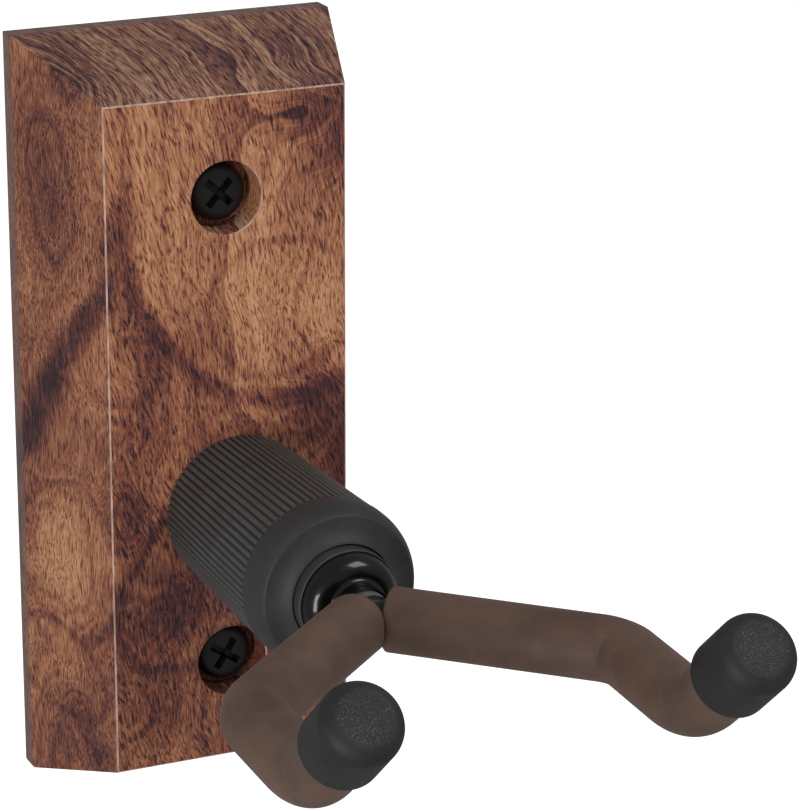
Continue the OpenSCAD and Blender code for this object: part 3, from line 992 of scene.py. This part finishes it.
def coped(x, y, z):
    """Hub point of the neck or spindle, whose front end follows the back of the rod."""
    reach = ROD_R + 0.05
    back = VEE_APEX_Z - sqrt(max(0.0, reach**2 - y * y)) if abs(y) < ROD_R else z
    return hub_point(x, y, min(z, back))


def build_boss():
    """Satin ring, and the glossy dome and neck inside it."""
    bore_r = SPINDLE_R + 0.05
    profile = [
        (bore_r, BOSS_Z),
        *line((SPINDLE_R + 0.3, BOSS_Z), (BOSS_R - 0.2, BOSS_Z), 3),
        (BOSS_R - 0.06, BOSS_Z + 0.06),
        (BOSS_R, BOSS_Z + 0.2),
        (BOSS_R, BOSS_FRONT_Z - 0.2),
        *arc(BOSS_R - 0.15, BOSS_FRONT_Z - 0.15, 0.15, 0.15, 0, 90, 4),
        (DOME_R + 0.06, BOSS_FRONT_Z - 0.02),
        (DOME_R + 0.05, BOSS_FRONT_Z - 0.08),
        (DOME_R + 0.05, BOSS_SEAT_Z),
        (bore_r, BOSS_SEAT_Z),
    ]
    looks = (RING_PLASTIC, "yoke", "boss_ring", 35, "ring_plastic")
    put_turned("satin_boss_ring", profile, 160, *looks)

    fillet = DOME_TOP_R - NECK_R
    profile = [
        (bore_r, BOSS_SEAT_Z),
        (DOME_R, BOSS_SEAT_Z),
        *arc(DOME_TOP_R, BOSS_FRONT_Z, DOME_R - DOME_TOP_R, DOME_TOP_Z - BOSS_FRONT_Z, 0, 90, 26),
        *arc(DOME_TOP_R, DOME_TOP_Z + fillet, fillet, fillet, -99, -180, 9),
        (NECK_R, NECK_END_Z),
        (bore_r, NECK_END_Z),
    ]
    looks = (DOME_ENAMEL, "yoke", "boss_dome", 40, "dome_enamel")
    put_turned("gloss_dome", profile, 160, *looks, place=coped)


def build_spindle():
    """Turned shaft with a threaded rear end and a coped front."""
    rear, front = -spindle_high.y, -spindle_low.y
    thread_start = rear + 0.3
    profile = [(3.2, rear), (3.5, rear + 0.15)]
    z = thread_start
    while z < SPINDLE_THREAD_END_Z:
        profile.append((SPINDLE_R - 0.1, z))
        z += 0.11
    profile += [(SPINDLE_R - 0.1, SPINDLE_THREAD_END_Z), (SPINDLE_R, SPINDLE_THREAD_END_Z + 0.1)]
    profile += [(SPINDLE_R, LINER_FRONT_Z), (SPINDLE_R, 80), (SPINDLE_R, front)]

    def threaded(angle, r, z):
        if z < thread_start or z >= SPINDLE_THREAD_END_Z:
            return r
        ease = min(1.0, (z - rear) / 0.9)
        cut = thread_reach(angle, z, SPINDLE_THREAD_PITCH, SPINDLE_THREAD_ROOT_R, SPINDLE_THREAD_R)
        return cut * (0.86 + 0.14 * ease)

    looks = (DRAWN_STEEL, "yoke", "yoke_spindle", 40, "spindle_steel")
    put_turned("turned_spindle", profile, 96, *looks, closed=False, place=coped, swell=threaded)


def build_ring(name, node, outer, inner, ease, material, slot):
    """A washer or lock ring of the yoke, as thick as its CAD node."""
    low, high = box_mm(node)
    ring = soft_ring(outer, inner, -high.y, -low.y, ease)
    put_turned(name, ring, 128, material, "yoke", node, 40, slot)


def build_stack():
    """Washers, spring and lock nut on the spindle."""
    washer = ("plain_washer", "rear_washer", REAR_WASHER_R, WASHER_BORE_R)
    build_ring(*washer, 0.12, ZINC, "washer_zinc")
    washer = ("nylon_thrust_washer", "thrust_washer", THRUST_WASHER_R, WASHER_BORE_R)
    build_ring(*washer, 0.08, NYLON, "nylon")

    low, high = box_mm("disc_spring")
    near, far = -high.y, -low.y
    profile = [
        (WASHER_BORE_R + 0.05, near),
        (WASHER_BORE_R, near + 0.1),
        (WASHER_BORE_R, near + SPRING_T - 0.05),
        (WASHER_BORE_R + 0.1, near + SPRING_T),
        (SPRING_R - 0.1, far),
        (SPRING_R, far - 0.1),
        (SPRING_R, far - SPRING_T + 0.05),
        (SPRING_R - 0.1, far - SPRING_T),
    ]
    looks = (SPRING_STEEL, "yoke", "disc_spring", 40, "spring_steel")
    put_turned("cone_spring", profile, 128, *looks)

    near, far = -nut_high.y, -nut_low.y
    flat = (nut_high.z - nut_low.z) / 2

    def hexagonal(angle, r, z):
        if r < NUT_COLLAR_R + 0.2:
            return r
        facet = flat / cos((angle + pi / 6) % (pi / 3) - pi / 6)
        return min(facet, r)

    crown = near + NUT_COLLAR_H
    profile = [
        (INSERT_SEAT_R, near + 0.3),
        (INSERT_SEAT_R, near),
        (NUT_COLLAR_R - 0.15, near),
        (NUT_COLLAR_R, near + 0.2),
        (NUT_COLLAR_R, crown - 0.1),
        (NUT_COLLAR_R + 0.6, crown),
        (NUT_R - 0.45, crown + 0.35),
        (NUT_R, crown + 0.75),
        (NUT_R, far - 0.75),
        (NUT_R - 0.45, far - 0.35),
        (NUT_R - 0.95, far),
        (SPINDLE_R + 0.4, far),
        (SPINDLE_R, far - 0.4),
        (SPINDLE_R, crown),
        (INSERT_SEAT_R, crown),
    ]
    looks = (ZINC, "yoke", "lock_nut", 25, "washer_zinc")
    put_turned("hex_lock_nut", profile, 192, *looks, swell=hexagonal)

    insert = ("nylon_lock_ring", "nut_insert", INSERT_SEAT_R - 0.05, SPINDLE_R - 0.01)
    build_ring(*insert, 0.15, BLUE_NYLON, "insert_nylon")


# --- Arms ---


LEG_ONE = ARM_X / sin(SPREAD)
VEE_APEX_Z = VEE_Z + VEE_BEND_R / sin(SPREAD) - VEE_BEND_R
ELBOW_REACH = ELBOW_R * tan(SPREAD / 2)
TIP_REACH = TIP_BEND_R * tan(TIP_TURN / 2)
UP = Vector((0, 1, 0))
TILT = Matrix.Rotation(DROOP, 3, "X")
# Spacing of the rings along an arm's legs and round its bends
LEG_STEP = 1.2
BEND_STEP = 0.45


class Path:
    """Centre line of one arm: points with their heading and two side directions."""

    def __init__(self, start, heading, side):
        self.point, self.heading, self.side = start, heading, side
        self.stations = []

    def note(self, tag):
        self.stations.append((self.point.copy(), self.heading.copy(), self.side.copy(), tag))

    def straight(self, length, tag):
        count = max(1, round(length / LEG_STEP))
        for k in range(count):
            self.note((tag, k / count))
            self.point = self.point + self.heading * (length / count)

    def bend(self, radius, turn, towards, tag):
        """Turns the heading towards a direction square to it."""
        count = max(4, round(radius * turn / BEND_STEP))
        centre = self.point + towards * radius
        axis = self.heading.cross(towards)
        start, heading, side = self.point - centre, self.heading, self.side
        for k in range(count):
            self.note((tag, k / count))
            spin = Matrix.Rotation(turn * (k + 1) / count, 3, axis)
            self.point = centre + spin @ start
            self.heading = spin @ heading
            self.side = spin @ side


def arm_path(first, last):
    """The right arm's centre line from a distance along its first leg to one along its third."""
    heading = Vector((sin(SPREAD), 0, cos(SPREAD)))
    inward = Vector((-cos(SPREAD), 0, sin(SPREAD)))
    path = Path(Vector((0, 0, VEE_Z)) + heading * first, heading, UP)
    path.straight(LEG_ONE - ELBOW_REACH - first, "first")
    path.bend(ELBOW_R, SPREAD, inward, "elbow")
    path.straight(LEG_TWO - ELBOW_REACH - TIP_REACH, "second")
    path.bend(TIP_BEND_R, TIP_TURN, UP, "tip bend")
    path.straight(last - TIP_REACH, "third")
    path.note(("third", 1.0))
    hinge = Vector((0, 0, VEE_APEX_Z))
    return [(hinge + TILT @ (p - hinge), TILT @ h, TILT @ s, tag) for p, h, s, tag in path.stations]


def tube_radius(tag, angle):
    """Outer radius of the tubing: it pinches and wrinkles inside the tight elbow.
    angle is measured from the elbow's inner side."""
    part, share = tag
    if part != "elbow":
        return TUBE_R
    near = exp(-(((share - 0.5) / 0.30) ** 2))
    inner = max(0.0, cos(angle)) ** 3
    outer = max(0.0, -cos(angle)) ** 2
    fold = exp(-(((share - 0.5) / 0.17) ** 2)) * max(0.0, cos(angle)) ** 3
    ripple = exp(-(((share - 0.22) / 0.12) ** 2)) + exp(-(((share - 0.78) / 0.12) ** 2))
    return TUBE_R - 0.22 * near * outer - 0.22 * fold + 0.03 * ripple * inner


def build_tube(side):
    """Rubber tubing over one arm; side is 1 for the right and -1 for the left."""
    steps = 64
    stations = arm_path(TUBE_START, TUBE_END)
    bore = ROD_R + 0.05
    rings = []
    eases = [(0.55, 0.0), (0.25, 0.08), (0.07, 0.25), (0.0, 0.6)]

    def ring(station, radius_at, shift=0.0):
        point, heading, up, _ = station
        inward = up.cross(heading)
        if inward.x > 0:
            inward = -inward
        middle = point + heading * shift
        made = []
        for a in angles(steps):
            p = middle + (inward * cos(a) + up * sin(a)) * radius_at(a)
            made.append(hub_point(side * max(0.04, p.x), p.y, p.z))
        return made

    first, last = stations[0], stations[-1]
    rings.append(ring(first, lambda a: bore))
    for inset, shift in eases:
        rings.append(ring(first, lambda a, inset=inset: TUBE_R - inset, shift))
    for station in stations[1:-1]:
        rings.append(ring(station, lambda a, tag=station[3]: tube_radius(tag, a)))
    for inset, shift in eases[::-1]:
        rings.append(ring(last, lambda a, inset=inset: TUBE_R - inset, -shift))
    rings.append(ring(last, lambda a: bore))
    for station in stations[-2:0:-1]:
        rings.append(ring(station, lambda a: bore))
    points = [p for r in rings for p in r]
    faces = grid_faces(len(rings), steps, 0, close_rows=True)
    hand = "right" if side > 0 else "left"
    name, node = hand + "_rubber_tube", hand + "_tube"
    put(name, points, faces, BROWN_RUBBER, "yoke", node, 50, "brown_rubber")


def third_leg():
    """Start, heading and up of the third leg's line, measured from the second leg's far corner."""
    point, heading, up, _ = arm_path(TUBE_START, TUBE_END)[-1]
    return point - heading * TUBE_END, heading, up


def cap_tip(side):
    """Middle of a cap's end, in row-frame millimetres."""
    start, heading, _ = third_leg()
    tip = start + heading * (CAP_START + CAP_LEN)
    return hub_point(side * tip.x, tip.y, tip.z)


def build_cap(side, material):
    """Moulded end cap: thin lip, plain wall, round shoulder and a grained, slightly crowned end."""
    end = CAP_LEN + CAP_START
    start, heading, up = third_leg()
    across = up.cross(heading)
    shoulder = 3.0
    crown = 0.5
    profile = [
        (TUBE_R + 0.05, CAP_START + 0.1),
        (TUBE_R + 0.2, CAP_START),
        (CAP_R - 0.25, CAP_START),
        (CAP_R - 0.07, CAP_START + 0.08),
        (CAP_R, CAP_START + 0.3),
        *line((CAP_R, CAP_START + 0.8), (CAP_R, end - crown - shoulder), 5),
        *arc(CAP_R - shoulder, end - crown - shoulder, shoulder, shoulder, 0, 76, 12),
    ]
    last_r, last_z = profile[-1]
    ring_rs = [last_r * (1 - k / 14) for k in range(1, 14)]
    profile += [(r, end - (end - last_z) * (r / last_r) ** 2) for r in ring_rs]
    steps = 128

    def ring(r, s):
        spots = [start + heading * s + (across * cos(a) + up * sin(a)) * r for a in angles(steps)]
        return [hub_point(side * p.x, p.y, p.z) for p in spots]

    points = [p for r, s in profile for p in ring(r, s)]
    faces = grid_faces(len(profile), steps)
    centre = len(points)
    points.append(cap_tip(side))
    last = (len(profile) - 1) * steps
    faces += [(last + j, last + (j + 1) % steps, centre) for j in range(steps)]
    inner = len(points)
    bore_rs = (TUBE_R + 0.05, TUBE_R - 0.4, 0.3)
    points += [p for r in bore_rs for p in ring(r, CAP_FLOOR)]
    faces += grid_faces(len(bore_rs), steps, inner) + band(0, inner, steps)
    faces.append(tuple(range(len(points) - steps, len(points))))
    hand = "right" if side > 0 else "left"
    name, node = hand + "_rubber_cap", hand + "_cap"
    put(name, points, faces, material, "yoke", node, 50, "black_rubber")


def build_rod():
    """Bent steel rod: two arms and the tight bend between them."""
    steps = 48
    half = 90 - degrees(SPREAD)
    hinge = Vector((0, 0, VEE_APEX_Z))
    stations = []
    count = 24
    for k in range(count + 1):
        t = radians(-half + 2 * half * k / count)
        p = Vector((VEE_BEND_R * sin(t), 0, VEE_APEX_Z + VEE_BEND_R * (1 - cos(t))))
        stations.append((p, Vector((cos(t), 0, sin(t)))))
    stations = [(hinge + TILT @ (p - hinge), TILT @ h) for p, h in stations]
    right = [(p, h) for p, h, *_ in arm_path(VEE_BEND_R / tan(SPREAD), ROD_END)]
    mirror = lambda v: Vector((-v.x, v.y, v.z))
    left = [(mirror(p), -mirror(h)) for p, h in right[:0:-1]]
    rows = left + stations + right[1:]
    points = []
    for p, h in rows:
        side = h.cross(TILT @ UP).normalized()
        up = side.cross(h).normalized()
        for a in angles(steps):
            q = p + (side * cos(a) + up * sin(a)) * ROD_R
            points.append(hub_point(q.x, q.y, q.z))
    faces = grid_faces(len(rows), steps) + end_fans(len(rows), steps)
    put("bent_steel_rod", points, faces, ROD_ENAMEL, "yoke", "yoke_rod", 40, "rod_steel")


def dress_cad_nodes():
    """Better materials for the CAD nodes that stay."""
    looks = {
        "hub_liner": DRAWN_STEEL,
        "flange_screws": BRASS,
        "front_bushing": NYLON,
        "rear_bushing": NYLON,
    }
    for name, material in looks.items():
        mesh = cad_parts[name].data
        mesh.materials.clear()
        mesh.materials.append(material)


build_plate()
build_wall_screws()
build_sleeve()
build_collar()
build_boss()
build_spindle()
build_stack()
build_rod()
black_rubber = cap_rubber([cap_tip(hand) for hand in (-1, 1)])
for hand in (-1, 1):
    build_tube(hand)
    build_cap(hand, black_rubber)
dress_cad_nodes()


# --- Studio ---

FLOOR_Z = -0.30
CAMERA_AZIMUTH = -24.305
CAMERA_ELEVATION = 18.546
CAMERA_ROLL = 0.153
CAMERA_DISTANCE = 0.64921
CAMERA_SIDE = 0.040756
CAMERA_RISE = -0.003501
FOCAL_LENGTH = 162.83


def studio_floor():
    mesh = bpy.data.meshes.new("studio_floor")
    reach = 20.0
    corners = [(-reach, -reach), (reach, -reach), (reach, reach), (-reach, reach)]
    mesh.from_pydata([(x, y, FLOOR_Z) for x, y in corners], [], [(0, 1, 2, 3)])
    s = Surface("white_floor")
    s.set(
        Base_Color=(0.93, 0.93, 0.93, 1),
        Roughness=0.9,
        Emission_Color=(1, 1, 1, 1),
        Emission_Strength=0.8,
    )
    mesh.materials.append(s.material)
    floor = add("studio_floor", mesh)
    floor.visible_diffuse = False
    floor.visible_glossy = False


def white_room(strength):
    world = bpy.data.worlds.new("white_room")
    bpy.context.scene.world = world
    world.use_nodes = True
    background = world.node_tree.nodes["Background"]
    background.inputs["Color"].default_value = (1, 1, 1, 1)
    background.inputs["Strength"].default_value = strength


def area_light(name, place, target, size, power):
    light = bpy.data.lights.new(name, "AREA")
    light.shape = "RECTANGLE"
    light.size, light.size_y = size
    light.energy = power
    made = add(name, light)
    made.location = place
    aim = Vector(target) - Vector(place)
    made.rotation_euler = aim.to_track_quat("-Z", "Y").to_euler()


def studio_camera():
    azimuth, elevation = radians(CAMERA_AZIMUTH), radians(CAMERA_ELEVATION)
    back = Vector((sin(azimuth) * cos(elevation), -cos(azimuth) * cos(elevation), sin(elevation)))
    level = Vector((cos(azimuth), sin(azimuth), 0))
    rise = back.cross(level)
    roll = radians(CAMERA_ROLL)
    right = level * cos(roll) + rise * sin(roll)
    up = rise * cos(roll) - level * sin(roll)
    lens = bpy.data.cameras.new("studio_camera")
    lens.lens = FOCAL_LENGTH
    lens.sensor_width = 36
    made = add("studio_camera", lens)
    place = back * CAMERA_DISTANCE + right * CAMERA_SIDE + up * CAMERA_RISE
    made.matrix_world = Matrix((right, up, back)).transposed().to_4x4()
    made.matrix_world.translation = place
    bpy.context.scene.camera = made


bpy.context.scene.view_settings.view_transform = "Standard"
studio_floor()
white_room(0.34)
middle = (0.0, -0.08, -0.01)
area_light("top_box", (0.42, -0.58, 0.74), middle, (0.45, 0.45), 3.8)
area_light("side_box", (-0.76, -0.72, -0.12), middle, (0.35, 0.5), 6.2)
studio_camera()
